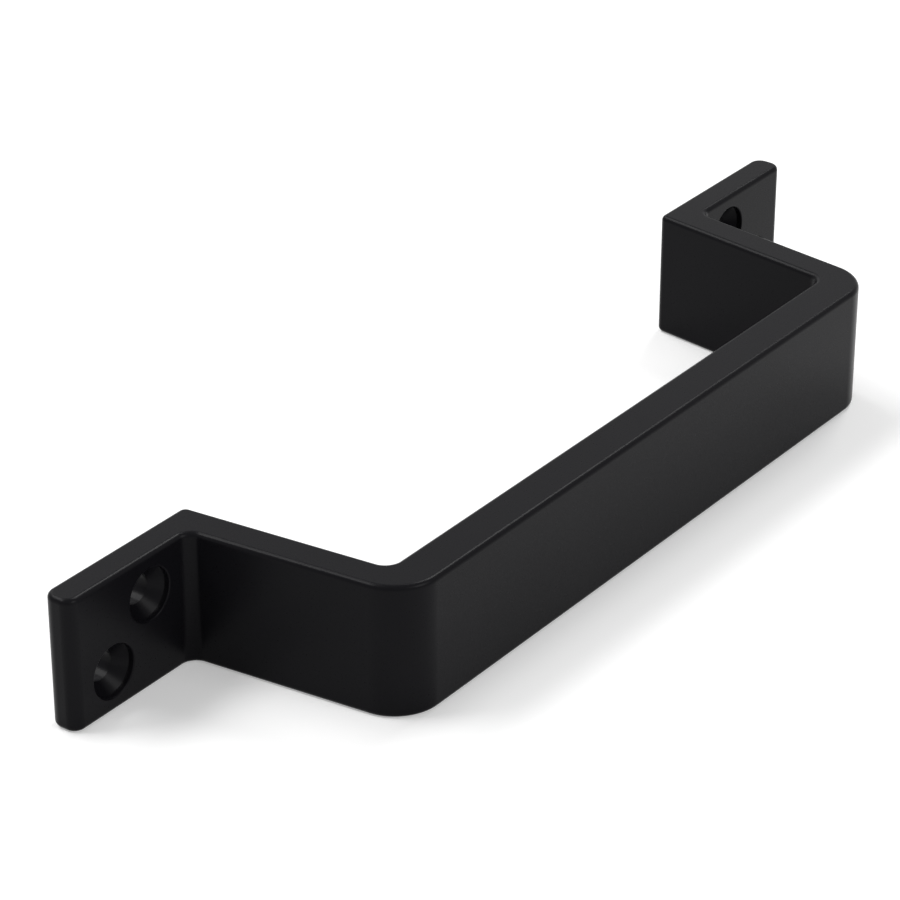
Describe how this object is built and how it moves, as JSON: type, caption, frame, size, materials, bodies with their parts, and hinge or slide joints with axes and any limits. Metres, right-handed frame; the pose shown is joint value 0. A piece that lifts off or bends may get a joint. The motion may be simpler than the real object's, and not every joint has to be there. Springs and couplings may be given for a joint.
{
  "type": "furniture handle",
  "caption": "Flat grip bar on leaning legs, with screw flanges at the ends, for pulling a cabinet door or drawer open.",
  "frame": {"origin": "middle of the mounting plane: halfway along the handle, on the door front, halfway across the bar", "axes": "+X along the handle, +Y into the door or drawer front, +Z across the bar; the grip stands out towards -Y"},
  "size_m": [0.17, 0.0382, 0.02],
  "materials": {
    "black_coat": "matte black powder coat"
  },
  "bodies": {
    "root": {"handle": "black_coat"}
  },
  "joints": []
}
